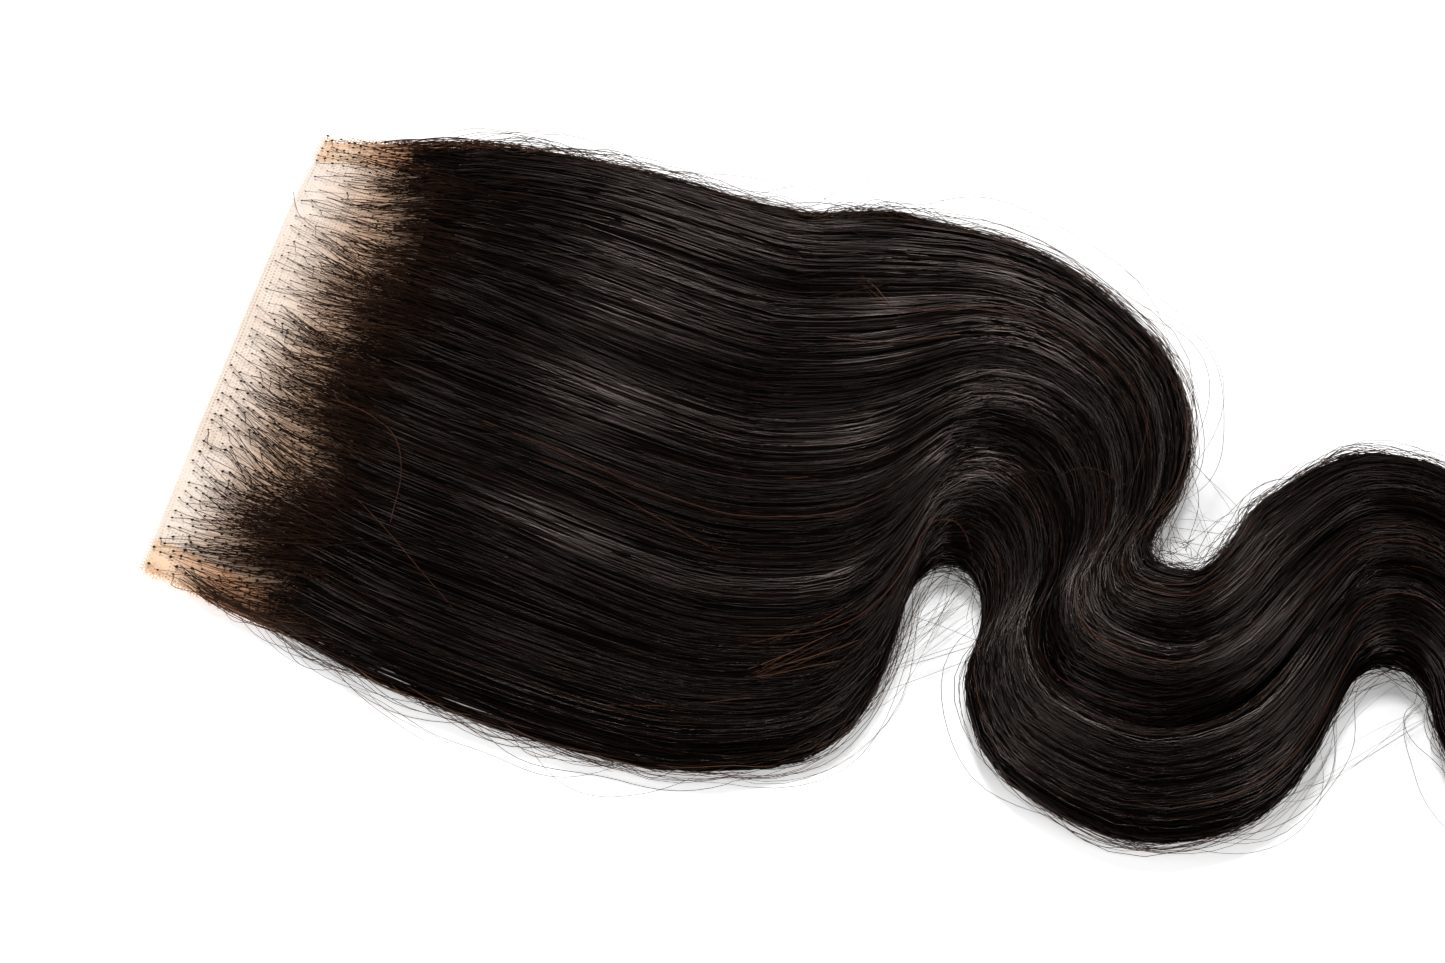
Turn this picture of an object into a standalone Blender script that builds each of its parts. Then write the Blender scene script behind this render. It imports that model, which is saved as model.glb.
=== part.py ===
"""Lace closure: a domed lace sheet with doubled side bands and a fall of body-wave hair.

The closure lies on a surface at z = 0. +X runs from the straight front cut of the lace to the tips
of the hair, +Y runs across the lace, +Z is up. The origin is the middle of the footprint. The
pieces are worked out from the middle of the front cut, and one empty then shifts them all.
"""
import math
from typing import NamedTuple

import bmesh
import bpy

# Driving dimensions in metres: the lace and its side bands.
LACE_FRONT_WIDTH = 0.102
LACE_WIDEST = 0.111
LACE_BACK_WIDTH = 0.104
LACE_DEPTH = 0.102
LACE_THICKNESS = 0.001
LACE_CORNER_RADIUS = 0.014
DOME_RISE = 0.003
CORNER_LIFT = 0.0015
CORNER_REACH = 0.016
BAND_WIDTH = 0.007
BAND_THICKNESS = 0.001
CLEARANCE = 0.0003

# Driving dimensions in metres: the hair.
HAIR_FALL = 0.188
HAIR_SPREAD = 0.118
HAIR_THICKNESS = 0.016
WAVE_SWING = 0.040
HAIRLINE_SETBACK = 0.013
DROP_RUN = 0.012
STATION_GAP = 0.0065

# Shares that shape the lace: where it is widest, and how much of the dome is left at its ends.
WIDEST_SHARE = 0.30
DOME_END_SHARE = 0.3

# Shares of the local bulk of the hair: height of its side, and how far its underside draws in.
SIDE_SHARE = 0.30
UNDERCUT_SHARE = 0.35
CROWN_POWER = 2.6

# Clearance run of the hair past the lace before it drops, a little over the mesh spacing.
SIDE_MARGIN = 0.003
BACK_MARGIN = 0.007

LACE_ROWS = 18
LACE_COLUMNS = 16
BAND_ROWS = 16
HAIR_COLUMNS = 30


class Section(NamedTuple):
    """One section across the hair, from its near edge to its far edge."""

    over_lace: float  # place of its middle along X, a share of LACE_DEPTH ...
    past_lace: float  # ... plus a share of HAIR_FALL
    side: float  # place of its middle along Y, a share of WAVE_SWING
    spread: float  # length of the section, a share of HAIR_SPREAD
    turn: float  # turn of the section from +Y, degrees, seen from above
    bulk: float  # height of the section, a share of HAIR_THICKNESS


SECTIONS = (
    Section(0.13, 0.000, -0.02, 0.87, -1.5, 0.09),
    Section(0.27, 0.000, -0.02, 0.925, -2.0, 0.28),
    Section(0.53, 0.000, -0.07, 0.995, -1.5, 0.45),
    Section(0.95, 0.000, -0.12, 1.00, 1.0, 0.66),
    Section(1.00, 0.047, -0.03, 1.00, 4.0, 0.70),
    Section(1.00, 0.103, 0.09, 0.96, 6.5, 0.75),
    Section(1.00, 0.141, 0.23, 0.87, 5.5, 0.80),
    Section(1.00, 0.171, 0.38, 0.75, 0.5, 0.85),
    Section(1.00, 0.203, 0.48, 0.64, -9.0, 0.90),
    Section(1.00, 0.249, 0.48, 0.54, -19.0, 0.95),
    Section(1.00, 0.294, 0.37, 0.485, -28.0, 0.98),
    Section(1.00, 0.323, 0.15, 0.43, -34.0, 1.00),
    Section(1.00, 0.331, -0.10, 0.40, -35.0, 1.00),
    Section(1.00, 0.321, -0.32, 0.395, -33.0, 1.00),
    Section(1.00, 0.329, -0.50, 0.405, -26.0, 1.00),
    Section(1.00, 0.353, -0.64, 0.42, -20.0, 1.00),
    Section(1.00, 0.430, -0.72, 0.45, -5.0, 1.00),
    Section(1.00, 0.470, -0.64, 0.465, 4.0, 0.98),
    Section(1.00, 0.506, -0.47, 0.47, 13.0, 0.96),
    Section(1.00, 0.530, -0.25, 0.445, 18.0, 0.94),
    Section(1.00, 0.576, 0.16, 0.37, 11.0, 0.90),
    Section(1.00, 0.613, 0.26, 0.34, 6.0, 0.88),
    Section(1.00, 0.651, 0.25, 0.33, 1.0, 0.86),
    Section(1.00, 0.700, 0.10, 0.31, -12.0, 0.83),
    Section(1.00, 0.737, -0.14, 0.295, -27.0, 0.79),
    Section(1.00, 0.809, -0.68, 0.25, -29.0, 0.66),
    Section(1.00, 0.855, -0.86, 0.21, -18.0, 0.57),
    Section(1.00, 0.908, -0.92, 0.16, -2.0, 0.46),
    Section(1.00, 1.001, -0.78, 0.05, 26.0, 0.18),
)


class Lobe(NamedTuple):
    """One point of the wavy hairline."""

    across: float  # share of the way from the near edge to the far edge
    setback: float  # share of HAIRLINE_SETBACK that the hair starts further back here


HAIRLINE = (
    Lobe(0.00, 0.15),
    Lobe(0.09, 0.60),
    Lobe(0.18, 0.00),
    Lobe(0.28, 0.65),
    Lobe(0.42, 0.60),
    Lobe(0.60, 0.45),
    Lobe(0.80, 0.35),
    Lobe(1.00, 0.15),
)


class Crease(NamedTuple):
    """One fold between two locks, which runs along the hair."""

    start: float  # where it starts and ends, shares of the hair's length
    end: float
    across_start: float  # where it lies across the hair at its start and at its end
    across_end: float
    depth: float  # share of the local bulk
    half_width: float  # share of the local width


CREASES = (
    Crease(0.02, 0.36, 0.15, 0.13, 0.16, 0.045),
    Crease(0.04, 0.46, 0.36, 0.30, 0.13, 0.050),
    Crease(0.08, 0.52, 0.58, 0.62, 0.12, 0.050),
    Crease(0.05, 0.60, 0.80, 0.84, 0.14, 0.045),
    Crease(0.36, 0.72, 0.42, 0.34, 0.50, 0.055),
    Crease(0.52, 0.96, 0.66, 0.60, 0.28, 0.060),
    Crease(0.70, 1.00, 0.30, 0.36, 0.30, 0.060),
)

LACE_COLOUR = (0.80, 0.63, 0.50, 1.0)
BAND_COLOUR = (0.66, 0.41, 0.27, 1.0)
HAIR_COLOUR = (0.016, 0.010, 0.008, 1.0)


def smooth(share):
    """Ease from 0 to 1 with level ends."""
    share = min(max(share, 0.0), 1.0)
    return share * share * (3.0 - 2.0 * share)


def blend(low, high, share):
    return low + (high - low) * share


def through(knots, values, place):
    """Read a smooth curve through values at rising knots."""
    last = len(knots) - 1
    place = min(max(place, knots[0]), knots[last])
    left = max(index for index in range(last) if knots[index] <= place)

    def slope(index):
        before, after = max(index - 1, 0), min(index + 1, last)
        return (values[after] - values[before]) / (knots[after] - knots[before])

    gap = knots[left + 1] - knots[left]
    t = (place - knots[left]) / gap
    rise = t * t * (3.0 - 2.0 * t)
    leave = t * (1.0 - t) ** 2 * gap * slope(left)
    arrive = t * t * (t - 1.0) * gap * slope(left + 1)
    return blend(values[left], values[left + 1], rise) + leave + arrive


def lace_half_width(x):
    """Half the lace's width: it flares behind the front cut, then narrows to its round back corners."""
    widest_at = WIDEST_SHARE * LACE_DEPTH
    if x < widest_at:
        half = blend(LACE_FRONT_WIDTH, LACE_WIDEST, smooth(x / widest_at)) / 2.0
    else:
        narrowing = smooth((x - widest_at) / (LACE_DEPTH - widest_at))
        half = blend(LACE_WIDEST, LACE_BACK_WIDTH, narrowing) / 2.0
    into_corner = LACE_CORNER_RADIUS - (LACE_DEPTH - x)
    if into_corner > 0.0:
        half -= LACE_CORNER_RADIUS - math.sqrt(max(LACE_CORNER_RADIUS**2 - into_corner**2, 0.0))
    return half


def corner_lift(x, y):
    """Lift of the sheet around its near front corner."""
    distance = math.hypot(x, y + LACE_FRONT_WIDTH / 2.0)
    return CORNER_LIFT * (1.0 - smooth(distance / CORNER_REACH))


def lace_underside(x, y):
    """Height of the lace's underside: over the bands at its sides, domed between them."""
    dome = DOME_RISE * blend(DOME_END_SHARE, 1.0, math.sin(math.pi * x / LACE_DEPTH))
    across = min(abs(y) / lace_half_width(min(x, LACE_DEPTH - LACE_CORNER_RADIUS)), 1.0)
    return BAND_THICKNESS + CLEARANCE + dome * (1.0 - across**2) + corner_lift(x, y)


def hair_seat(x, y):
    """Height of the hair's underside: just over the lace, and down on the surface clear of it."""
    over = min(x, LACE_DEPTH)
    half = lace_half_width(min(x, LACE_DEPTH - LACE_CORNER_RADIUS))
    past = max(abs(y) - half - SIDE_MARGIN, x - LACE_DEPTH - BACK_MARGIN)
    on_lace = lace_underside(over, y) + LACE_THICKNESS + CLEARANCE
    return on_lace * (1.0 - smooth(past / DROP_RUN))


def crease_at(along, across):
    """Share of the hair's height that the folds between its locks take away."""
    taken = 0.0
    for fold in CREASES:
        run = (along - fold.start) / (fold.end - fold.start)
        if 0.0 < run < 1.0:
            offset = (across - blend(fold.across_start, fold.across_end, run)) / fold.half_width
            taken += fold.depth * math.sqrt(math.sin(math.pi * run)) * math.exp(-offset * offset)
    return min(taken, 0.7)


def closed_slab(name, top, bottom, material):
    """Make one closed body from a top and a bottom grid of points with as many rows and columns."""
    rows, columns = len(top), len(top[0])
    mesh_builder = bmesh.new()
    over = [[mesh_builder.verts.new(point) for point in row] for row in top]
    under = [[mesh_builder.verts.new(point) for point in row] for row in bottom]
    for i in range(rows - 1):
        for j in range(columns - 1):
            mesh_builder.faces.new((over[i][j], over[i + 1][j], over[i + 1][j + 1], over[i][j + 1]))
            mesh_builder.faces.new((under[i][j], under[i][j + 1], under[i + 1][j + 1], under[i + 1][j]))
    for i in range(rows - 1):
        for j in (0, columns - 1):
            mesh_builder.faces.new((over[i][j], over[i + 1][j], under[i + 1][j], under[i][j]))
    for j in range(columns - 1):
        for i in (0, rows - 1):
            mesh_builder.faces.new((over[i][j], over[i][j + 1], under[i][j + 1], under[i][j]))
    bmesh.ops.recalc_face_normals(mesh_builder, faces=mesh_builder.faces)
    mesh = bpy.data.meshes.new(name)
    mesh_builder.to_mesh(mesh)
    mesh_builder.free()
    mesh.materials.append(material)
    mesh.shade_smooth()
    mesh.set_sharp_from_angle(angle=math.radians(40.0))
    piece = bpy.data.objects.new(name, mesh)
    bpy.context.scene.collection.objects.link(piece)
    return piece


def principled(name, colour, roughness):
    material = bpy.data.materials.new(name)
    material.use_nodes = True
    shader = material.node_tree.nodes["Principled BSDF"]
    shader.inputs["Base Color"].default_value = colour
    shader.inputs["Roughness"].default_value = roughness
    shader.inputs["Metallic"].default_value = 0.0
    return material


def make_lace():
    top, bottom = [], []
    for i in range(LACE_ROWS + 1):
        x = LACE_DEPTH * i / LACE_ROWS
        half = lace_half_width(x)
        places = [half * (2.0 * j / LACE_COLUMNS - 1.0) for j in range(LACE_COLUMNS + 1)]
        bottom.append([(x, y, lace_underside(x, y)) for y in places])
        top.append([(x, y, lace_underside(x, y) + LACE_THICKNESS) for y in places])
    return closed_slab("lace_base", top, bottom, principled("lace", LACE_COLOUR, 0.8))


def make_band(name, side, material):
    """Make the doubled strip under one side of the lace; side is -1 for near, +1 for far."""
    top, bottom = [], []
    length = LACE_DEPTH - LACE_CORNER_RADIUS
    for i in range(BAND_ROWS + 1):
        x = length * i / BAND_ROWS
        outer = side * lace_half_width(x)
        inner = side * (lace_half_width(x) - BAND_WIDTH)
        heights = [lace_underside(x, y) - CLEARANCE for y in (outer, inner)]
        lift = corner_lift(x, outer)
        top.append([(x, outer, heights[0]), (x, inner, heights[0])])
        bottom.append([(x, outer, lift), (x, inner, lift)])
    return closed_slab(name, top, bottom, material)


def station(along, knots):
    """Read the hair's section at a share of its length, as x, y, width, turn and bulk."""
    place = knots[-1] * along
    over, past, side, spread, turn, bulk = (
        through(knots, column, place) for column in zip(*SECTIONS)
    )
    x = over * LACE_DEPTH + past * HAIR_FALL
    return x, side * WAVE_SWING, spread * HAIR_SPREAD, math.radians(turn), bulk * HAIR_THICKNESS


def section_knots():
    """Distances from the first section to each section, along the middle of the hair."""
    middles = [
        (row.over_lace * LACE_DEPTH + row.past_lace * HAIR_FALL, row.side * WAVE_SWING)
        for row in SECTIONS
    ]
    knots = [0.0]
    for before, after in zip(middles, middles[1:]):
        knots.append(knots[-1] + math.dist(before, after))
    return knots


def make_hair():
    knots = section_knots()
    count = math.ceil(knots[-1] / STATION_GAP)
    hairline_across = [lobe.across for lobe in HAIRLINE]
    hairline_setback = [lobe.setback for lobe in HAIRLINE]
    top, bottom = [], []
    for i in range(count + 1):
        along = i / count
        x, y, width, turn, bulk = station(along, knots)
        fade = 1.0 - smooth(along * knots[-1] / (2.0 * HAIRLINE_SETBACK))
        draw_in = UNDERCUT_SHARE * bulk / width
        over_row, under_row = [], []
        for j in range(HAIR_COLUMNS + 1):
            across = (1.0 - math.cos(math.pi * j / HAIR_COLUMNS)) / 2.0
            across = blend(j / HAIR_COLUMNS, across, 0.5)
            setback = fade * HAIRLINE_SETBACK * through(hairline_across, hairline_setback, across)

            def point(share):
                offset = (share - 0.5) * width
                return x + setback - offset * math.sin(turn), y + offset * math.cos(turn)

            crown = (1.0 - abs(2.0 * across - 1.0) ** CROWN_POWER) ** 0.5
            height = bulk * blend(SIDE_SHARE, 1.0, crown) * (1.0 - crease_at(along, across) * crown)
            over = point(across)
            under = point(blend(draw_in, 1.0 - draw_in, across))
            over_row.append((*over, hair_seat(*over) + height))
            under_row.append((*under, hair_seat(*under)))
        top.append(over_row)
        bottom.append(under_row)
    return closed_slab("hair", top, bottom, principled("hair", HAIR_COLOUR, 0.35))


def main():
    for thing in list(bpy.data.objects):
        bpy.data.objects.remove(thing)
    band_material = principled("edge_band", BAND_COLOUR, 0.8)
    pieces = [
        make_lace(),
        make_band("edge_band_far", 1, band_material),
        make_band("edge_band_near", -1, band_material),
        make_hair(),
    ]
    points = [vertex.co for piece in pieces for vertex in piece.data.vertices]
    middle = [(min(axis) + max(axis)) / 2.0 for axis in zip(*points)]
    lowest = min(point.z for point in points)
    origin = bpy.data.objects.new("closure_origin", None)
    origin.location = (-middle[0], -middle[1], -lowest)
    bpy.context.scene.collection.objects.link(origin)
    for piece in pieces:
        piece.parent = origin


main()
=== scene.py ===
"""Looks of the lace closure: fine net lace, doubled side bands, knots and thousands of hair strands."""
import math

import bpy
import numpy as np
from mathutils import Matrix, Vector


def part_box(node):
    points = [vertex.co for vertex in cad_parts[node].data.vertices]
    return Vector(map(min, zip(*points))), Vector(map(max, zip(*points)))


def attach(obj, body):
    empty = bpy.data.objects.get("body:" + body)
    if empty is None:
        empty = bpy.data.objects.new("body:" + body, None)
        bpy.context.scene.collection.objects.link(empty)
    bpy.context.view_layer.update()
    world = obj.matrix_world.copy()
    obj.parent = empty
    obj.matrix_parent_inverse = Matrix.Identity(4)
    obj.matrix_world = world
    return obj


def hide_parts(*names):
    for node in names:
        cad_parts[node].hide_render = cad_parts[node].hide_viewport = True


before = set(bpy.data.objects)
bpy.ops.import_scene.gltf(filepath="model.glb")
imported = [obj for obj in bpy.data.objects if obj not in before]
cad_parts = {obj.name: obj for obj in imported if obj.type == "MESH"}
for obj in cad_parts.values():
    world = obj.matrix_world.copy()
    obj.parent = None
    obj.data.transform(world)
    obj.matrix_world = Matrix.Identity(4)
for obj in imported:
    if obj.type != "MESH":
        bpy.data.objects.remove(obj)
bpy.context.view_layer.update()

# Where the lace lies in the frame: the middle of its front cut is the zero of all lengths below.
lace_low, lace_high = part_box("lace_base")
FRONT_X = lace_low.x
MIDDLE_Y = (lace_low.y + lace_high.y) / 2.0
LACE_DEPTH = lace_high.x - lace_low.x

# Sizes of the part, in metres, as its source has them.
LACE_FRONT_WIDTH = 0.102
LACE_WIDEST = 0.111
LACE_BACK_WIDTH = 0.104
LACE_THICKNESS = 0.001
LACE_CORNER_RADIUS = 0.014
WIDEST_SHARE = 0.30
DOME_RISE = 0.003
DOME_END_SHARE = 0.3
CORNER_LIFT = 0.0015
CORNER_REACH = 0.016
BAND_WIDTH = 0.007
BAND_THICKNESS = 0.001
CLEARANCE = 0.0003
HAIR_FALL = 0.188
HAIR_SPREAD = 0.118
HAIR_THICKNESS = 0.016
WAVE_SWING = 0.040
HAIRLINE_SETBACK = 0.013
DROP_RUN = 0.012
SIDE_MARGIN = 0.003
BACK_MARGIN = 0.007
SIDE_SHARE = 0.30
CUT_REACH = 0.008
FAR_CORNER_TRIM = 0.0009
NET_BORDER = 0.0009
UNDERCUT_SHARE = 0.35
CROWN_POWER = 2.6
CREASE_LIMIT = 0.7

# Camera: azimuth and height over the floor in degrees, distance and the point it looks at in metres.
CAMERA_AZIMUTH = 15.48
CAMERA_HEIGHT = 60.0
CAMERA_DISTANCE = 0.6297
CAMERA_TARGET = (0.0963, -0.0030)
CAMERA_LENS = 85.0
# The sections across the hair, as the part's source has them: how far over and past the lace they lie,
# their shift to the side, spread, turn in degrees and bulk.
SECTIONS = (
    (0.13, 0.000, -0.02, 0.87, -1.5, 0.09),
    (0.27, 0.000, -0.02, 0.925, -2.0, 0.28),
    (0.53, 0.000, -0.07, 0.995, -1.5, 0.45),
    (0.95, 0.000, -0.12, 1.0, 1.0, 0.66),
    (1.0, 0.047, -0.03, 1.0, 4.0, 0.70),
    (1.0, 0.103, 0.09, 0.96, 6.5, 0.75),
    (1.0, 0.141, 0.23, 0.87, 5.5, 0.80),
    (1.0, 0.171, 0.38, 0.75, 0.5, 0.85),
    (1.0, 0.203, 0.48, 0.64, -9.0, 0.90),
    (1.0, 0.249, 0.48, 0.54, -19.0, 0.95),
    (1.0, 0.294, 0.37, 0.485, -28.0, 0.98),
    (1.0, 0.323, 0.15, 0.43, -34.0, 1.0),
    (1.0, 0.331, -0.10, 0.40, -35.0, 1.0),
    (1.0, 0.321, -0.32, 0.395, -33.0, 1.0),
    (1.0, 0.329, -0.50, 0.405, -26.0, 1.0),
    (1.0, 0.353, -0.64, 0.42, -20.0, 1.0),
    (1.0, 0.430, -0.72, 0.45, -5.0, 1.0),
    (1.0, 0.470, -0.64, 0.465, 4.0, 0.98),
    (1.0, 0.506, -0.47, 0.47, 13.0, 0.96),
    (1.0, 0.530, -0.25, 0.445, 18.0, 0.94),
    (1.0, 0.576, 0.16, 0.37, 11.0, 0.90),
    (1.0, 0.613, 0.26, 0.34, 6.0, 0.88),
    (1.0, 0.651, 0.25, 0.33, 1.0, 0.86),
    (1.0, 0.700, 0.10, 0.31, -12.0, 0.83),
    (1.0, 0.737, -0.14, 0.295, -27.0, 0.79),
    (1.0, 0.809, -0.68, 0.25, -29.0, 0.66),
    (1.0, 0.855, -0.86, 0.21, -18.0, 0.57),
    (1.0, 0.908, -0.92, 0.16, -2.0, 0.46),
    (1.0, 1.001, -0.78, 0.05, 26.0, 0.18),
)

# The wavy hairline: shares across from the near edge, and how far the hair starts further back there.
HAIRLINE_ACROSS = (0.00, 0.09, 0.18, 0.28, 0.42, 0.60, 0.80, 1.0)
HAIRLINE_BACK = (0.15, 0.60, 0.00, 0.65, 0.60, 0.45, 0.35, 0.15)
# The folds between its locks: start and end, place across at each of them, depth and half width.
CREASES = (
    (0.02, 0.36, 0.15, 0.13, 0.16, 0.045),
    (0.04, 0.46, 0.36, 0.30, 0.13, 0.050),
    (0.08, 0.52, 0.58, 0.62, 0.12, 0.050),
    (0.05, 0.60, 0.80, 0.84, 0.14, 0.045),
    (0.36, 0.72, 0.42, 0.34, 0.50, 0.055),
    (0.52, 0.96, 0.66, 0.60, 0.28, 0.060),
    (0.70, 1.00, 0.30, 0.36, 0.30, 0.060),
)


def smooth(share):
    """Ease from 0 to 1 with level ends."""
    share = np.clip(share, 0.0, 1.0)
    return share * share * (3.0 - 2.0 * share)


def blend(low, high, share):
    return low + (high - low) * share


def through(knots, values, places):
    """Read a smooth curve through values at rising knots, at many places."""
    knots, values = np.asarray(knots, float), np.asarray(values, float)
    index = np.arange(len(knots))
    before, after = np.maximum(index - 1, 0), np.minimum(index + 1, len(knots) - 1)
    slopes = (values[after] - values[before]) / (knots[after] - knots[before])
    places = np.clip(places, knots[0], knots[-1])
    left = np.clip(np.searchsorted(knots, places, side="right") - 1, 0, len(knots) - 2)
    gap = knots[left + 1] - knots[left]
    t = (places - knots[left]) / gap
    leave = t * (1.0 - t) ** 2 * gap * slopes[left]
    arrive = t * t * (t - 1.0) * gap * slopes[left + 1]
    return blend(values[left], values[left + 1], t * t * (3.0 - 2.0 * t)) + leave + arrive


def lace_half_width(x):
    """Half the lace's width: it flares behind the front cut, then narrows to its round back corners."""
    widest_at = WIDEST_SHARE * LACE_DEPTH
    flaring = blend(LACE_FRONT_WIDTH, LACE_WIDEST, smooth(x / widest_at)) / 2.0
    narrowing = smooth((x - widest_at) / (LACE_DEPTH - widest_at))
    half = np.where(x < widest_at, flaring, blend(LACE_WIDEST, LACE_BACK_WIDTH, narrowing) / 2.0)
    into_corner = np.clip(LACE_CORNER_RADIUS - (LACE_DEPTH - x), 0.0, LACE_CORNER_RADIUS)
    return half - (LACE_CORNER_RADIUS - np.sqrt(LACE_CORNER_RADIUS**2 - into_corner**2))


def cut_back(y):
    """How far the front cut stands back of a straight line: it bows out between the corners."""
    return 0.0011 * smooth((y - 0.030) / 0.020) + 0.0006 * smooth((-y - 0.034) / 0.016) - 0.0007


def far_edge(x):
    """Half width on the far side, a little narrower at its front corner."""
    return lace_half_width(x) - FAR_CORNER_TRIM * (1.0 - smooth(x / 0.020))


def trimmed(x, y, border=0.0):
    """Move points near the front so that they end at the bowed cut, or at a border behind it."""
    share = np.clip(1.0 - x / CUT_REACH, 0.0, 1.0)
    return x + cut_back(y) * share + border * share


def lace_underside(x, y):
    """Height of the lace's underside: over the bands at its sides, domed between them."""
    dome = DOME_RISE * blend(DOME_END_SHARE, 1.0, np.sin(np.pi * x / LACE_DEPTH))
    across = np.minimum(np.abs(y) / lace_half_width(np.minimum(x, LACE_DEPTH - LACE_CORNER_RADIUS)), 1.0)
    from_corner = np.hypot(x, y + LACE_FRONT_WIDTH / 2.0)
    lift = CORNER_LIFT * (1.0 - smooth(from_corner / CORNER_REACH))
    return BAND_THICKNESS + CLEARANCE + dome * (1.0 - across**2) + lift


def lace_top(x, y):
    return lace_underside(x, y) + LACE_THICKNESS


def hair_seat(x, y):
    """Height of the hair's underside: just over the lace, and down on the surface clear of it."""
    over = np.minimum(x, LACE_DEPTH)
    half = lace_half_width(np.minimum(x, LACE_DEPTH - LACE_CORNER_RADIUS))
    past = np.maximum(np.abs(y) - half - SIDE_MARGIN, x - LACE_DEPTH - BACK_MARGIN)
    return (lace_top(over, y) + CLEARANCE) * (1.0 - smooth(past / DROP_RUN))


_columns = [np.array(column) for column in zip(*SECTIONS)]
_middle_x = _columns[0] * LACE_DEPTH + _columns[1] * HAIR_FALL
_middle_y = _columns[2] * WAVE_SWING
KNOTS = np.concatenate(([0.0], np.cumsum(np.hypot(np.diff(_middle_x), np.diff(_middle_y)))))
HAIR_LENGTH = KNOTS[-1]


def station(along):
    """Read the hair's sections at shares of its length, as x, y, width, turn and bulk."""
    place = along * HAIR_LENGTH
    over, past, side, spread, turn, bulk = (through(KNOTS, column, place) for column in _columns)
    x = over * LACE_DEPTH + past * HAIR_FALL
    return x, side * WAVE_SWING, spread * HAIR_SPREAD, np.radians(turn), bulk * HAIR_THICKNESS


def crease_at(along, across):
    """Share of the hair's height that the folds between its locks take away."""
    taken = 0.0
    for start, end, across_start, across_end, depth, half_width in CREASES:
        run = np.clip((along - start) / (end - start), 0.0, 1.0)
        offset = (across - blend(across_start, across_end, run)) / half_width
        taken = taken + depth * np.sqrt(np.sin(np.pi * run).clip(0.0)) * np.exp(-offset * offset)
    return np.minimum(taken, CREASE_LIMIT)


# The waves rise and fall as well: shares of the hair's length, and the height of its top there in metres.
SWELL_ALONG = (
    0.0, 0.025, 0.05, 0.075, 0.1, 0.14, 0.175, 0.21, 0.255, 0.28, 0.3, 0.32, 0.345, 0.37, 0.395, 0.41, 0.43,
    0.455, 0.48, 0.5, 0.53, 0.57, 0.61, 0.65, 0.675, 0.7, 0.725, 0.75, 0.8, 0.85, 0.9, 0.95, 1.0,
)
SWELL_TOP = (
    0.0058, 0.0082, 0.0106, 0.0125, 0.0138, 0.0144, 0.0134, 0.0120, 0.0101, 0.0092, 0.0089, 0.0094, 0.0109,
    0.0123, 0.0130, 0.0130, 0.0123, 0.0110, 0.0099, 0.0095, 0.0099, 0.0120, 0.0143, 0.0154, 0.0155, 0.0150,
    0.0147, 0.0149, 0.0152, 0.0140, 0.0115, 0.0078, 0.0029,
)

# The hair's surface is charted once on a grid: along its length, and across it from one foot of its
# side over the top to the other. Shares across run a little below 0 and above 1, down the sides.
WRAP = 0.045
CHART_ALONG = 401
CHART_ACROSS = 241


def column_spacing(count):
    """Shares across, from one foot to the other, closer together at the round sides."""
    even = np.linspace(0.0, 1.0, count)
    eased = blend(even, (1.0 - np.cos(np.pi * even)) / 2.0, 0.65)
    return blend(-WRAP, 1.0 + WRAP, eased)


def hair_surface(along, across, inset=0.0):
    """Points on the hair's outside at shares along and across, or inset from its sides."""
    x, y, width, turn, bulk = station(along)
    width = width - 2.0 * np.minimum(inset, 0.2 * width)
    inside = np.clip(across, 0.0, 1.0)
    down = np.abs(across - inside) / WRAP
    fade = 1.0 - smooth(along * HAIR_LENGTH / (2.0 * HAIRLINE_SETBACK))
    setback = fade * HAIRLINE_SETBACK * through(HAIRLINE_ACROSS, HAIRLINE_BACK, inside)
    draw_in = UNDERCUT_SHARE * bulk * down**2
    offset = (inside - 0.5) * width - np.sign(across - inside) * draw_in
    crown = np.sqrt(1.0 - np.abs(2.0 * inside - 1.0) ** CROWN_POWER)
    px = x + setback - offset * np.sin(turn)
    py = y + offset * np.cos(turn)
    seat = hair_seat(px, py)
    side = SIDE_SHARE * bulk
    top = side + (through(SWELL_ALONG, SWELL_TOP, along) - seat - side) * crown
    height = top * (1.0 - crease_at(along, inside) * crown)
    return np.stack([px, py, seat + height * (1.0 - down)], -1)


def unit(vectors):
    """Vectors scaled to a length of 1."""
    return vectors / np.maximum(np.linalg.norm(vectors, axis=-1, keepdims=True), 1e-12)


def normals_of(grid):
    """Outward normals of a grid of points."""
    return unit(np.cross(np.gradient(grid, axis=0), np.gradient(grid, axis=1)))


_chart_along = np.linspace(0.0, 1.0, CHART_ALONG)
_chart_across = column_spacing(CHART_ACROSS)
CHART = hair_surface(_chart_along[:, None], _chart_across[None, :])
CHART_NORMALS = normals_of(CHART)
BODY_INSET = 0.0010
BODY_CHART = hair_surface(_chart_along[:, None], _chart_across[None, :], BODY_INSET)


def read_chart(chart, along, across):
    """Read a chart between its points."""
    row = np.clip(along, 0.0, 1.0) * (CHART_ALONG - 1)
    column = np.interp(across, _chart_across, np.arange(CHART_ACROSS))
    i = np.clip(row.astype(int), 0, CHART_ALONG - 2)
    j = np.clip(column.astype(int), 0, CHART_ACROSS - 2)
    a, b = (row - i)[..., None], (column - j)[..., None]
    low = blend(chart[i, j], chart[i, j + 1], b)
    high = blend(chart[i + 1, j], chart[i + 1, j + 1], b)
    return blend(low, high, a)

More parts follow.
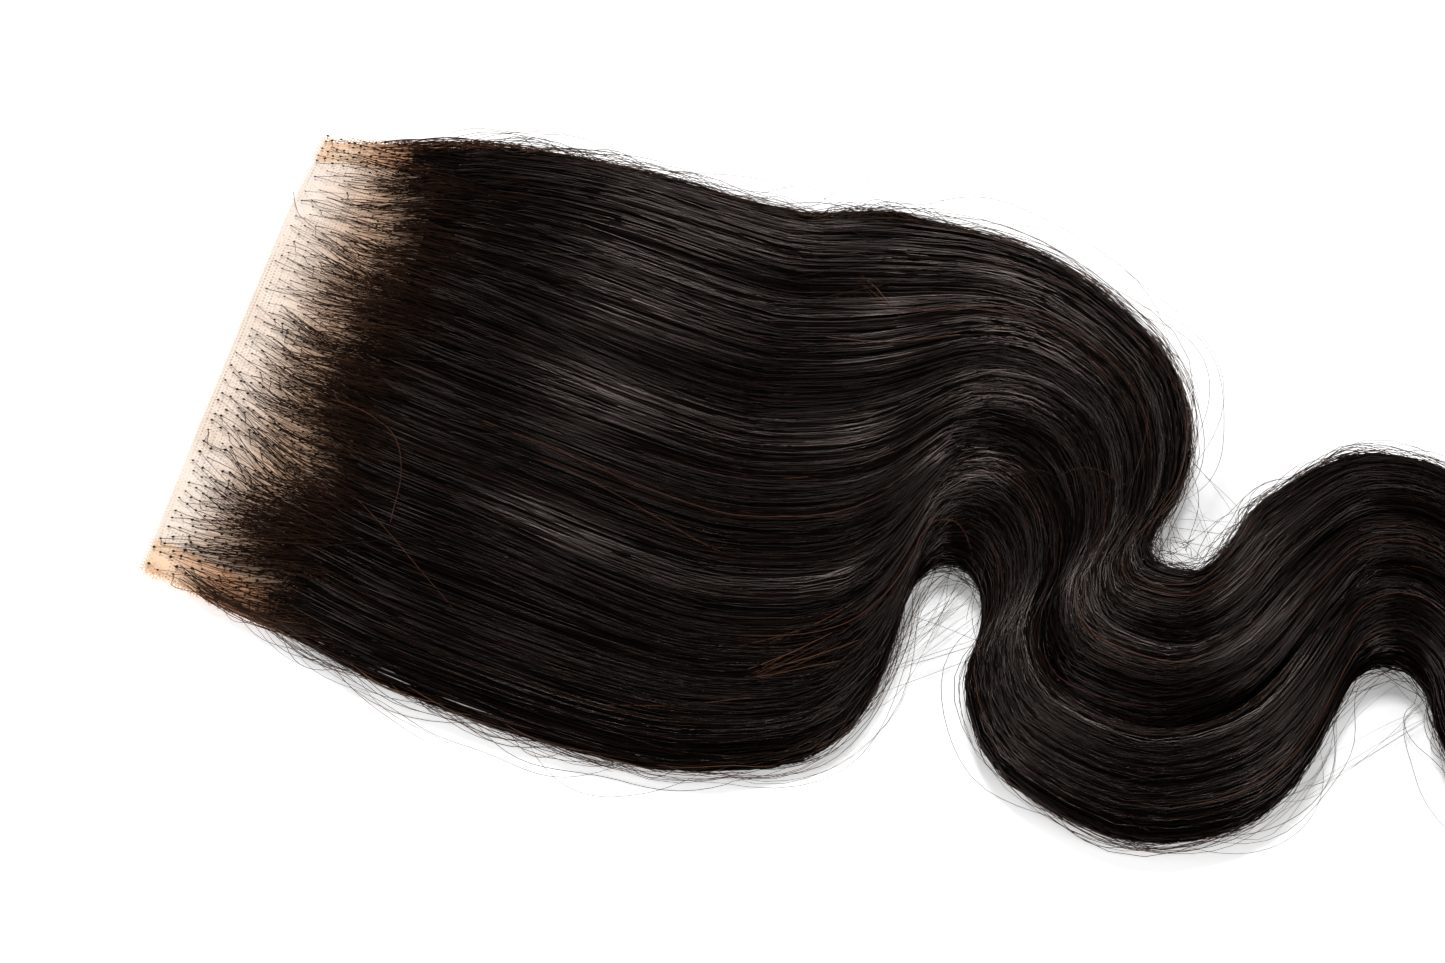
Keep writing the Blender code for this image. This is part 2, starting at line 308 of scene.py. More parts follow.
# How the hair starts across the lace: places in metres, the strands' lean in degrees, and how far behind
# the cut they have closed.
ROOT_PLACES = (
    (-0.0560, -12.0, 0.030), (-0.0500, -8.0, 0.024), (-0.0465, -2.0, 0.021), (-0.0430, 2.0, 0.017),
    (-0.0390, -4.0, 0.017), (-0.0345, -14.0, 0.018), (-0.0300, -22.0, 0.020), (-0.0250, -29.0, 0.026),
    (-0.0200, -31.0, 0.024), (-0.0150, -28.0, 0.021), (-0.0100, -25.0, 0.021), (-0.0030, -22.0, 0.018),
    (0.0030, -20.0, 0.023), (0.0090, -18.0, 0.020), (0.0140, -18.0, 0.024), (0.0200, -21.0, 0.021),
    (0.0260, -22.0, 0.025), (0.0320, -9.0, 0.022), (0.0370, 1.0, 0.024), (0.0415, -3.0, 0.025),
    (0.0450, -3.0, 0.015), (0.0500, 0.0, 0.019), (0.0560, 4.0, 0.024),
)
ROOT_Y, ROOT_LEAN, ROOT_CLOSED = (np.array(column) for column in zip(*ROOT_PLACES))


def root_lean(y):
    """Lean of the strands where they leave the lace, in degrees."""
    return through(ROOT_Y, ROOT_LEAN, y)


def closed_from(y):
    """How far behind the cut the strands have closed over the lace."""
    return through(ROOT_Y, ROOT_CLOSED, y)


def along_at(x, across):
    """Shares of the hair's length at which its surface lies x behind the cut."""
    runs = np.linspace(0.0, 0.2, 81)
    reach = read_chart(CHART, runs[None, :], across[:, None])[..., 0]
    return runs[np.minimum((reach < x[:, None]).sum(1), len(runs) - 1)]


def front_lean(along, home):
    """Sideways shift of strands near the lace's front, where they still lean towards the near side."""
    share = 0.075 * smooth(home / 0.16) * (1.0 - smooth((home - 0.62) / 0.33)) + 0.018
    return share * np.exp(-along * HAIR_LENGTH / 0.024)


def waver(rng, count, places, steps):
    """Slow random swings for many strands: steps are (waves per length, size) pairs."""
    total = 0.0
    for waves, size in steps:
        phase = rng.uniform(0.0, 2.0 * np.pi, (count, 1))
        rate = waves * rng.uniform(0.7, 1.3, (count, 1))
        total = total + size * np.sin(2.0 * np.pi * rate * places + phase)
    return total


# Mesh makers.

def new_object(name, data):
    """Add an object to the scene."""
    added = bpy.data.objects.new(name, data)
    bpy.context.scene.collection.objects.link(added)
    return added


def make_piece(name, points, faces, uvs, materials, face_slots=None):
    """Make one mesh piece from points measured from the lace's front cut, and ride it on the body."""
    mesh = bpy.data.meshes.new(name)
    world = np.asarray(points, np.float64) + (FRONT_X, MIDDLE_Y, 0.0)
    mesh.vertices.add(len(world))
    mesh.vertices.foreach_set("co", world.astype(np.float32).ravel())
    sizes = np.concatenate([np.full(len(block), block.shape[1]) for block in faces])
    corners = np.concatenate([block.ravel() for block in faces])
    mesh.loops.add(len(corners))
    mesh.loops.foreach_set("vertex_index", corners.astype(np.int32))
    mesh.polygons.add(len(sizes))
    starts = np.concatenate(([0], np.cumsum(sizes)[:-1]))
    mesh.polygons.foreach_set("loop_start", starts.astype(np.int32))
    mesh.polygons.foreach_set("use_smooth", np.ones(len(sizes), bool))
    for material in materials:
        mesh.materials.append(material)
    if face_slots is not None:
        mesh.polygons.foreach_set("material_index", face_slots.astype(np.int32))
    mesh.uv_layers.new(name="OFBake").uv.foreach_set("vector", np.asarray(uvs, np.float32).ravel())
    mesh.update()
    mesh.validate()
    piece = new_object(name, mesh)
    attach(piece, "root")
    return piece


def pairs(first, second):
    return np.stack(np.broadcast_arrays(first, second), -1)


def face_uvs(*corners):
    """UVs of many faces, from the u and v of each of their corners."""
    return np.stack([pairs(u, v) for u, v in corners], -2).reshape(-1, 2)


# Each strand is a three-sided tube. Its walls take up a strip of the UV square and its ends lie in it.
SIDES = 3
STRIP_SHARE = 0.8
END_UV_LENGTH = 0.0015
END_UV_WIDTH = 0.3


def tubes(paths, ups, radii):
    """Closed thin tubes along paths of shape (strands, points, 3): points, faces and face UVs."""
    count, steps = paths.shape[:2]
    ahead = unit(np.gradient(paths, axis=1))
    side = unit(np.cross(ahead, ups))
    up = np.cross(side, ahead)
    angles = np.pi / 2.0 + 2.0 * np.pi * np.arange(SIDES) / SIDES
    ring = np.cos(angles)[:, None] * side[:, :, None] + np.sin(angles)[:, None] * up[:, :, None]
    points = paths[:, :, None] + radii[:, :, None, None] * ring
    number = np.arange(count * steps * SIDES).reshape(count, steps, SIDES)
    nearer, further = number[:, :-1], number[:, 1:]
    walls = np.stack([nearer, np.roll(nearer, -1, 2), np.roll(further, -1, 2), further], -1)
    middle = (np.arange(count)[:, None, None] + 0.5) / count
    low = middle + (np.arange(SIDES) / SIDES - 0.5) * STRIP_SHARE / count
    high = middle + ((np.arange(SIDES) + 1.0) / SIDES - 0.5) * STRIP_SHARE / count
    along = np.arange(steps)[None, :, None] / (steps - 1.0)
    left, right = along[:, :-1], along[:, 1:]
    wall_uvs = face_uvs((left, low), (left, high), (right, high), (right, low))
    end_u = END_UV_LENGTH * (1.0 + np.cos(angles))
    end_v = middle[:, 0] + END_UV_WIDTH / count * np.sin(angles)
    uvs = [wall_uvs, pairs(end_u, end_v).reshape(-1, 2), pairs(1.0 - end_u, end_v).reshape(-1, 2)]
    faces = [walls.reshape(-1, 4), number[:, 0], number[:, -1, ::-1]]
    return points.reshape(-1, 3), faces, np.concatenate(uvs)


# Materials.


class Nodes:
    """Short hand for a material's node tree: sockets are linked to inputs, and plain values set on them."""

    def __init__(self, name):
        self.material = bpy.data.materials.new(name)
        self.material.use_nodes = True
        self.tree = self.material.node_tree
        self.shader = self.tree.nodes["Principled BSDF"]

    def put(self, value, socket):
        if isinstance(value, bpy.types.NodeSocket):
            self.tree.links.new(value, socket)
        else:
            socket.default_value = value

    def add(self, kind, inputs=(), **settings):
        node = self.tree.nodes.new(kind)
        for key, value in settings.items():
            setattr(node, key, value)
        for key, value in dict(inputs).items():
            self.put(value, node.inputs[key])
        return node

    def math(self, operation, *values):
        return self.add("ShaderNodeMath", enumerate(values), operation=operation).outputs[0]

    def uv(self):
        return self.add("ShaderNodeUVMap", uv_map="OFBake").outputs[0]

    def place(self):
        return self.add("ShaderNodeTexCoord").outputs["Object"]

    def random(self, number):
        return self.add("ShaderNodeTexWhiteNoise", {"W": number}, noise_dimensions="1D").outputs["Value"]

    def noise(self, vector, scale, detail=2.0, roughness=0.5):
        inputs = {"Vector": vector, "Scale": scale, "Detail": detail, "Roughness": roughness}
        return self.add("ShaderNodeTexNoise", inputs).outputs["Fac"]

    def stretch(self, vector, scale):
        return self.add("ShaderNodeMapping", {"Vector": vector, "Scale": scale}).outputs[0]

    def ramp(self, value, *stops):
        node = self.add("ShaderNodeValToRGB", {"Fac": value})
        elements = node.color_ramp.elements
        elements[0].position, elements[0].color = stops[0]
        elements[1].position, elements[1].color = stops[-1]
        for position, colour in stops[1:-1]:
            elements.new(position).color = colour
        return node.outputs["Color"]

    def set(self, **values):
        for name, value in values.items():
            self.put(value, self.shader.inputs[name.replace("_", " ")])


HAIR_BLACK = (0.0017, 0.0011, 0.0009, 1.0)
HAIR_DARK = (0.0034, 0.0021, 0.0016, 1.0)
HAIR_BROWN = (0.0135, 0.0064, 0.0042, 1.0)
HAIR_COPPER = (0.105, 0.038, 0.019, 1.0)
ROOT_DARK = (0.046, 0.021, 0.012, 1.0)
ROOT_BROWN = (0.160, 0.075, 0.041, 1.0)
BROWN = {"dark": ROOT_DARK, "brown": ROOT_BROWN}
DARK_SHARE = 0.62
HAIR_IOR = 1.55
GLOSS_TINT = (1.0, 0.80, 0.73, 1.0)
SPECKLE_SHARE = 0.14
ROUGH_SPREAD = 0.26


def strand_material(
    name, count, copper=0.968, dark=HAIR_BLACK, brown=HAIR_BROWN, rough=0.30, gloss=0.22, fade=0.0
):
    """Hair in single strands: each has its own shade, and a few are copper."""
    nodes = Nodes(name)
    uv = nodes.uv()
    split = nodes.add("ShaderNodeSeparateXYZ", {0: uv})
    number = nodes.math("FLOOR", nodes.math("MULTIPLY", split.outputs[1], float(count)))
    shade = nodes.math("MULTIPLY", nodes.random(number), 1.0 - SPECKLE_SHARE)
    speckle = nodes.noise(nodes.stretch(uv, (9.0, 3.0 * count, 1.0)), 1.0)
    value = nodes.math("ADD", shade, nodes.math("MULTIPLY", speckle, SPECKLE_SHARE))
    if fade > 0.0:
        run = nodes.math("POWER", split.outputs[0], 0.8)
        value = nodes.math("MULTIPLY", value, nodes.math("MULTIPLY_ADD", run, -fade, 1.0))
    stops = ((0.0, HAIR_BLACK), (DARK_SHARE, dark), (copper - 0.03, brown), (copper, HAIR_COPPER))
    uneven = nodes.math("POWER", nodes.random(nodes.math("ADD", number, 0.37)), 1.6)
    roughness = nodes.math("MULTIPLY_ADD", uneven, ROUGH_SPREAD, rough)
    nodes.set(Base_Color=nodes.ramp(value, *stops), Roughness=roughness)
    nodes.set(Specular_IOR_Level=gloss, IOR=HAIR_IOR, Specular_Tint=GLOSS_TINT)
    return nodes.material


def mass_material():
    """The dark body of hair under the strands, with streaks that run along it."""
    nodes = Nodes("hair_mass_streaks")
    uv = nodes.uv()
    wide = nodes.noise(nodes.stretch(uv, (7.0, 160.0, 1.0)), 1.0, 3.0, 0.6)
    fine = nodes.noise(nodes.stretch(uv, (16.0, 620.0, 1.0)), 1.0, 2.0, 0.6)
    both = nodes.math("ADD", nodes.math("MULTIPLY", wide, 0.5), nodes.math("MULTIPLY", fine, 0.5))
    bump = nodes.add("ShaderNodeBump", {"Height": both, "Strength": 0.9, "Distance": 0.0006})
    nodes.set(Base_Color=nodes.ramp(both, (0.3, HAIR_BLACK), (0.72, HAIR_DARK)), Normal=bump.outputs[0])
    nodes.set(Roughness=0.45, Specular_IOR_Level=0.08, IOR=HAIR_IOR, Specular_Tint=GLOSS_TINT)
    return nodes.material


def make_strands(name, look, paths, radii, ups=(0.0, 0.0, 1.0), **shades):
    """Make one piece of strands from their paths and radii, with a look of its own."""
    ups = np.broadcast_to(ups, paths.shape)
    points, faces, uvs = tubes(paths, ups, np.broadcast_to(radii, paths.shape[:2]))
    make_piece(name, points, faces, uvs, [strand_material(look, len(paths), **shades)])


# The hair.

OFF_FLOOR = 0.0003
MASS_COLUMNS = 150
MASS_STATIONS = 125
MASS_FLOOR_COLUMNS = 8
MASS_SETBACK = 0.004
MASS_SPIKES = 0.014
MASS_TEETH = 100
MASS_END = 0.993
MASS_SINK = 0.0010
MASS_FRONT_SINK = 0.0030
MASS_OFF_FLOOR = 0.0002
# Ridges on its surface, as lines across it and their height, and the swings along it that bend them.
MASS_RIDGES = ((23, 0.00022), (41, 0.00016), (67, 0.00010))
RIDGE_SWINGS = (0.6, 1.4, 2.9)
# Its walls take up this share of the UV square, and its two ends lie in the strip that is left.
MASS_UV_SHARE = 0.98
MASS_END_UV = 0.009


def make_mass():
    """The closed body under the strands: the part's own form, with ridges that run along it."""
    rng = np.random.default_rng(11)
    across = column_spacing(MASS_COLUMNS)[None, :]
    front_y = read_chart(CHART, np.full(MASS_COLUMNS, 0.03), across[0])[:, 1]
    start = along_at(closed_from(front_y) + MASS_SETBACK, across[0])[None, :]
    teeth = np.linspace(-WRAP, 1.0 + WRAP, MASS_TEETH)
    start = start + np.interp(across, teeth, rng.uniform(size=MASS_TEETH)) * MASS_SPIKES
    run = np.linspace(0.0, 1.0, MASS_STATIONS)[:, None]
    along = blend(blend(start, start.mean(), np.minimum(run * 9.0, 1.0)), MASS_END, run)
    along, across = np.broadcast_arrays(along, across)
    points = read_chart(BODY_CHART, along, across)
    normal = read_chart(CHART_NORMALS, along, across)
    ridges = 0.0
    for lines, size in MASS_RIDGES:
        drift = 0.0
        for waves in RIDGE_SWINGS:
            swing = rng.uniform(0.3, 0.9) / waves
            drift = drift + swing * np.sin(2 * np.pi * (waves * along + rng.uniform()))
        drift = drift + 0.5 * np.sin(2 * np.pi * (2.3 * across + rng.uniform()))
        ridges = ridges + size * np.cos(2 * np.pi * lines * across + 3.0 * drift)
    foot = np.minimum(1.0, 6.0 * np.minimum(across + WRAP, 1.0 + WRAP - across) / WRAP)
    sink = MASS_SINK + MASS_FRONT_SINK * (1.0 - smooth((along - start) / 0.07))
    points = points + normal * ((ridges - sink) * foot)[..., None]
    points[..., 2] = np.maximum(points[..., 2], hair_seat(points[..., 0], points[..., 1]) + MASS_OFF_FLOOR)
    share = np.linspace(0.0, 1.0, MASS_FLOOR_COLUMNS + 2)[1:-1][None, :, None]
    floor = blend(points[:, -1:], points[:, :1], share)
    floor[..., 2] = np.maximum(hair_seat(floor[..., 0], floor[..., 1]), MASS_OFF_FLOOR)
    rings = np.concatenate([points, floor], axis=1)
    rows, columns = rings.shape[:2]
    number = np.arange(rows * columns).reshape(rows, columns)
    a, b = number[:-1], number[1:]
    walls = np.stack([a, b, np.roll(b, -1, 1), np.roll(a, -1, 1)], -1).reshape(-1, 4)
    u = np.arange(rows - 1)[:, None] / (rows - 1.0)
    v = np.arange(columns)[None, :] / columns * MASS_UV_SHARE
    next_u, next_v = u + 1.0 / (rows - 1.0), v + MASS_UV_SHARE / columns
    wall_uvs = face_uvs((u, v), (next_u, v), (next_u, next_v), (u, next_v))
    angle = 2 * np.pi * np.arange(columns) / columns
    cap = pairs(0.25 + MASS_END_UV * np.cos(angle), 0.99 + MASS_END_UV * np.sin(angle))
    uvs = np.concatenate([wall_uvs, cap, cap + (0.3, 0.0)])
    faces = [walls, number[:1], number[-1:, ::-1]]
    piece = make_piece("hair_mass", rings.reshape(-1, 3), faces, uvs, [mass_material()])
    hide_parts("hair")


# Shares along a full strand: few on the straight fall over the lace, more in the waves.
_even = np.linspace(0.0, 1.0, 50)[None, :]
STRAND_PLACES = blend(_even, _even**0.72, 0.85)
TAPER_SHARE = 0.05
_fullness = smooth(STRAND_PLACES / TAPER_SHARE) * smooth((1.0 - STRAND_PLACES) / TAPER_SHARE)
STRAND_TAPER = blend(0.25, 1.0, _fullness)
CLUMPS = 76
_clump_shares = (np.arange(CLUMPS) + np.random.default_rng(5).uniform(0.1, 0.9, CLUMPS)) / CLUMPS
CLUMP_ACROSS = -WRAP + (1.0 + 2.0 * WRAP) * _clump_shares

# Slow sideways swings that neighbouring strands share: waves along, fan across, phase and size.
DRIFTS = (
    (0.7, 0.8, 0.10, 0.0130),
    (1.3, -1.7, 0.60, 0.0070),
    (2.2, 3.1, 0.30, 0.0034),
    (3.3, 5.3, 0.80, 0.0018),
)


def drifted(along, home):
    """Where a strand lies across the hair, after the swings that it shares with its neighbours."""
    swing = 0.0
    for waves, fan, phase, size in DRIFTS:
        swing = swing + size * np.sin(2.0 * np.pi * (waves * along + fan * home + phase))
    return home + swing * smooth(along / 0.15)


# The layers of strands: name, seed, count, radius, lowest and highest rank in height, how far they
# wander, their pull to their clumps, roughness and gloss.
LAYERS = (
    ("hair_under_a", 21, 430, 0.00019, 0.00, 0.45, 0.0015, 0.55, 0.26, 0.03),
    ("hair_under_b", 22, 430, 0.00016, 0.15, 0.65, 0.0030, 0.50, 0.23, 0.05),
    ("hair_over_a", 23, 470, 0.00013, 0.40, 1.10, 0.0050, 0.45, 0.28, 0.02),
    ("hair_over_b", 24, 270, 0.00011, 0.45, 1.05, 0.0050, 0.45, 0.20, 0.27),
    ("hair_over_c", 25, 240, 0.00009, 0.80, 1.40, 0.0100, 0.30, 0.18, 0.34),
)
START_NEAREST = -0.003
START_FURTHEST = 0.022
RISE_SHARE = 0.034
LIFT_WIDE = 0.00060
LIFT_NARROW = 0.0013
FRINGE_INSET = 0.0018
CLUMP_LIFT = 0.00022
BURY_DEPTH = 0.0006
STRAND_SWINGS = ((10.0, 0.00020), (19.0, 0.00009))


def make_body_layer(name, seed, count, radius, rank_low, rank_high, wander, pull, rough, gloss):
    """Strands that run along the hair's surface, drawn together in clumps."""
    rng = np.random.default_rng(seed)
    home = rng.uniform(-WRAP, 1.0 + WRAP, count)
    front = np.clip(home + front_lean(0.02, home), -WRAP, 1.0 + WRAP)
    front_y = read_chart(CHART, np.full(count, 0.02), front)[:, 1]
    behind = blend(START_NEAREST, START_FURTHEST, rng.uniform(size=count) ** 1.4)
    starts = along_at(closed_from(front_y) + behind, front)[:, None]
    ends = (1.0 - 0.11 * rng.uniform(size=count) ** 2.0)[:, None]
    along = starts + (ends - starts) * STRAND_PLACES
    home = home[:, None]
    centre = CLUMP_ACROSS[np.abs(home - CLUMP_ACROSS).argmin(1)][:, None]
    hold = pull * smooth((along - 0.02) / 0.3) * (0.7 + waver(rng, count, along, ((1.7, 0.3),)))
    place = blend(home, centre, hold)
    swings = ((1.1, wander), (2.6, 0.35 * wander))
    across = drifted(along, place) + waver(rng, count, along, swings) + front_lean(along, home)
    across = np.clip(across, -WRAP, 1.0 + WRAP)
    near_clump = 1.0 - np.clip(np.abs(place - centre) * CLUMPS, 0.0, 1.0) ** 2
    room = blend(LIFT_NARROW, LIFT_WIDE, np.clip(station(along)[2] / HAIR_SPREAD, 0.0, 1.0))
    rank = rng.uniform(rank_low, rank_high, (count, 1))
    height = room * (rank - 0.35) + CLUMP_LIFT * near_clump * smooth(along / 0.2)
    height = height + waver(rng, count, along, STRAND_SWINGS) * smooth(along / 0.12)
    bury = smooth((along - starts) / 0.016) * smooth((ends - along) / 0.02)
    height = blend(-BURY_DEPTH, height, bury)
    normal = read_chart(CHART_NORMALS, along, across)
    paths = read_chart(CHART, along, across) + normal * height[..., None]
    ground = lace_top(np.clip(paths[..., 0], 0.0, LACE_DEPTH), paths[..., 1]) + 0.0004
    risen = smooth((along - starts) / RISE_SHARE)
    paths[..., 2] = blend(np.minimum(ground, paths[..., 2]), paths[..., 2], risen)
    paths[..., 2] = np.maximum(paths[..., 2], OFF_FLOOR)
    # Strands on the sides stand in by uneven amounts, so that the outline is thin and open there.
    side = np.clip(np.maximum(-across, across - 1.0) / WRAP + 0.15, 0.0, 1.0)
    inward = FRINGE_INSET * rng.uniform(size=(count, 1)) ** 0.6
    inward = inward * (0.8 + waver(rng, count, along, ((4.0, 0.35),)))
    paths = paths - normal * (1.0, 1.0, 0.0) * (side * inward)[..., None]
    thick = radius * rng.uniform(0.75, 1.25, (count, 1)) * STRAND_TAPER
    make_strands(name, name + "_look", paths, thick, normal, rough=rough, gloss=gloss)


# Camera, floor and light.

WHITE = (1.0, 1.0, 1.0, 1.0)
PAPER = (0.93, 0.93, 0.93, 1.0)
FLOOR_REACH = 3.0
# The white paper floor gives back a little light of its own, which keeps its shadows pale.
FLOOR_GLOW = 0.31
# The lamps: name, place, width and height in metres, and power in watts. The key light stands where a
# level hair mirrors it into the camera; the others fill from the sides.
LAMPS = (
    ("key_light", (-0.19, 0.69, 1.24), (0.30, 0.30), 14.0),
    ("left_light", (-1.35, -0.55, 0.95), (1.0, 0.8), 18.0),
    ("right_light", (1.40, -0.45, 0.95), (1.0, 0.8), 19.0),
)
WORLD_LIGHT = 0.10


def turned_to(way):
    """The turn that makes a camera or lamp look along a direction."""
    return way.to_track_quat("-Z", "Y").to_euler()


def make_camera():
    azimuth, height = math.radians(CAMERA_AZIMUTH), math.radians(CAMERA_HEIGHT)
    level = math.cos(height)
    back = Vector((math.sin(azimuth) * level, -math.cos(azimuth) * level, math.sin(height)))
    target = Vector((CAMERA_TARGET[0] + FRONT_X, CAMERA_TARGET[1] + MIDDLE_Y, 0.0))
    camera = new_object("camera", bpy.data.cameras.new("camera"))
    camera.data.lens = CAMERA_LENS
    camera.data.clip_start = 0.01
    camera.data.clip_end = 20.0
    camera.location = target + back * CAMERA_DISTANCE
    camera.rotation_euler = turned_to(-back)
    bpy.context.scene.camera = camera


def make_floor():
    mesh = bpy.data.meshes.new("floor")
    corners = ((-1, -1), (1, -1), (1, 1), (-1, 1))
    mesh.from_pydata([(x * FLOOR_REACH, y * FLOOR_REACH, 0) for x, y in corners], [], [(0, 1, 2, 3)])
    floor = new_object("floor", mesh)
    nodes = Nodes("floor_paper")
    nodes.set(Base_Color=PAPER, Roughness=0.9, Specular_IOR_Level=0.1)
    nodes.set(Emission_Color=WHITE, Emission_Strength=FLOOR_GLOW)
    mesh.materials.append(nodes.material)


def make_lamp(name, place, size, power):
    data = bpy.data.lights.new(name, "AREA")
    data.shape = "RECTANGLE"
    data.size, data.size_y = size
    data.energy = power
    lamp = new_object(name, data)
    lamp.location = place
    lamp.rotation_euler = turned_to(-Vector(place))


def make_stage():
    make_floor()
    for lamp in LAMPS:
        make_lamp(*lamp)
    world = bpy.data.worlds.new("studio")
    world.use_nodes = True
    background = world.node_tree.nodes["Background"]
    background.inputs[0].default_value = WHITE
    background.inputs[1].default_value = WORLD_LIGHT
    bpy.context.scene.world = world
    bpy.context.scene.view_settings.view_transform = "Standard"


# Where the roots stand on the lace and how they lie.


def top_of_hair(x, y):
    """Height of the hair's surface over the lace."""
    runs = np.linspace(0.0, 0.26, 105)
    along = np.interp(x, station(runs)[0], runs)
    middle, width = station(along)[1:3]
    return read_chart(CHART, along, np.clip((y - middle) / width + 0.5, -WRAP, 1.0 + WRAP))[..., 2]


ROOT_STEPS = 12
ROOT_RUN = np.linspace(0.0, 1.0, ROOT_STEPS)[None, :]
LOCK_FAN = 13.0
LOCK_PITCH = 0.0073


def root_strands(rng, x, y, length, spread, lift, looped):
    """Thin strands from knots at x, y: they lean, draw together in locks and rise into the hair."""
    count = len(x)
    dist = ROOT_RUN**1.15 * length[:, None]
    behind = x[:, None] + 0.93 * dist
    flow = root_lean(y)[:, None] * blend(1.0, 0.36, smooth((behind - 0.010) / 0.034))
    own = spread[:, None] * blend(1.0, 0.25, smooth(dist / 0.012))
    level = smooth((y + 0.0465) / 0.008)
    lock = np.sin(2.0 * np.pi * (y / LOCK_PITCH + 0.6 * np.sin(y / 0.0051) + x / 0.05))
    fan = LOCK_FAN * level[:, None] * lock[:, None] * smooth(dist / 0.008)
    heading = np.radians(flow + own + fan * (1.0 - smooth(dist / 0.024)))
    heading = heading + waver(rng, count, dist, ((35.0, 0.09),))
    step = np.diff(dist, axis=1, prepend=0.0)
    px = x[:, None] + np.cumsum(np.cos(heading) * step, 1)
    py = y[:, None] + np.cumsum(np.sin(heading) * step, 1)
    curl = np.where(looped, rng.uniform(0.0004, 0.0016, count), 0.0)[:, None]
    turn = np.sin(np.pi * np.clip(dist / 0.007, 0.0, 1.0))
    px = px - curl * turn**2 * 1.6
    py = py - curl * turn * 0.9
    on_lace = lace_top(np.clip(px, 0.0, LACE_DEPTH), py)
    over = np.maximum(top_of_hair(px, py), on_lace + 0.0002)
    arch = rng.uniform(0.0002, 0.0011, (count, 1)) * np.sin(np.pi * np.clip(dist / 0.012, 0.0, 1.0)) ** 0.7
    rise = smooth((px - closed_from(np.clip(py, -0.056, 0.056)) + 0.010) / 0.016)
    pz = blend(on_lace + 0.00015 + arch, over + lift[:, None], rise)
    return np.stack([px, py, pz], -1)
# Patches of knots: start, end, low and high in metres, their pitch, knot size, strands a knot, spread in
# degrees, share of looped strands, and length.
ROOT_FIELDS = (
    (0.0024, 0.0068, -0.0440, 0.0430, 0.00215, 0.00026, 1.3, 15.0, 0.20, 0.018),
    (0.0066, 0.0140, -0.0440, 0.0430, 0.00185, 0.00027, 1.7, 14.0, 0.14, 0.020),
    (0.0140, 0.0260, -0.0450, 0.0450, 0.00160, 0.00027, 1.2, 11.0, 0.03, 0.022),
    (0.0018, 0.0220, 0.0435, 0.0525, 0.00155, 0.00034, 0.8, 14.0, 0.05, 0.010),
    (0.0020, 0.0290, -0.0535, -0.0440, 0.00190, 0.00031, 1.7, 16.0, 0.30, 0.014),
)
def place_knots(rng, start, end, low, high, pitch):
    """Knots in staggered rows, a little uneven, kept inside the lace."""
    rows = max(1, int(round((end - start) / (0.87 * pitch))))
    columns = int(round((high - low) / pitch))
    row, column = np.meshgrid(np.arange(rows), np.arange(columns), indexing="ij")
    x = start + row * 0.87 * pitch
    y = low + (column + 0.5 * (row % 2) + 0.25) * pitch
    x = (x + rng.uniform(-0.28, 0.28, x.shape) * pitch).ravel()
    y = (y + rng.uniform(-0.25, 0.25, y.shape) * pitch).ravel()
    # The front row follows the cut, and steps back towards the far band.
    x = x + 0.0007 * np.clip((y + 0.05) / 0.1, 0.0, 1.0) - 0.0006
    inside = (np.abs(y) < lace_half_width(x) - 0.0008) & (x > 0.0012)
    return x[inside], y[inside]


ROOT_RADIUS = 0.000078


def make_roots():
    """Knots and the thin strands that leave them, over the open lace."""
    rng = np.random.default_rng(61)
    paths, knots = [], []
    for start, end, low, high, pitch, knot, strands, fan, looped_share, reach in ROOT_FIELDS:
        x, y = place_knots(rng, start, end, low, high, pitch)
        # Where the hairline steps back there are fewer knots.
        late = smooth((closed_from(y) - 0.017) / 0.009)
        kept = rng.uniform(size=len(x)) < 1.15 - 0.55 * late * (1.0 - smooth((x - 0.012) / 0.010))
        x, y = x[kept], y[kept]
        size = knot * rng.uniform(0.75, 1.2, len(x)) * blend(1.1, 0.8, smooth((y + 0.020) / 0.040))
        knots.append((x, y, size))
        for number in range(math.ceil(strands)):
            tied = rng.uniform(size=len(x)) < strands - number
            tied_x, tied_y = x[tied], y[tied]
            spread = rng.uniform(-fan, fan, len(tied_x))
            length = reach * rng.uniform(0.70, 1.30, len(tied_x))
            lift = rng.uniform(-0.0002, 0.0006, len(tied_x))
            looped = rng.uniform(size=len(tied_x)) < looped_share
            paths.append(root_strands(rng, tied_x, tied_y, length, spread, lift, looped))
    paths = np.concatenate(paths)
    radius = ROOT_RADIUS * rng.uniform(0.65, 1.30, (len(paths), 1))
    radius = radius * blend(0.4, 1.0, smooth((1.0 - ROOT_RUN) / 0.2))
    radius = radius * blend(0.72, 1.15, smooth((paths[:, :1, 0] - 0.003) / 0.012))
    make_strands("hair_roots", "root_strands", paths, radius, copper=0.97, gloss=0.03, fade=0.97, **BROWN)
    make_knots(*np.concatenate(knots, axis=1))


UNDER_ROOTS = 1000
NEAR_UNDER_ROOTS = 70
UNDER_ROOT_RADIUS = 0.00012


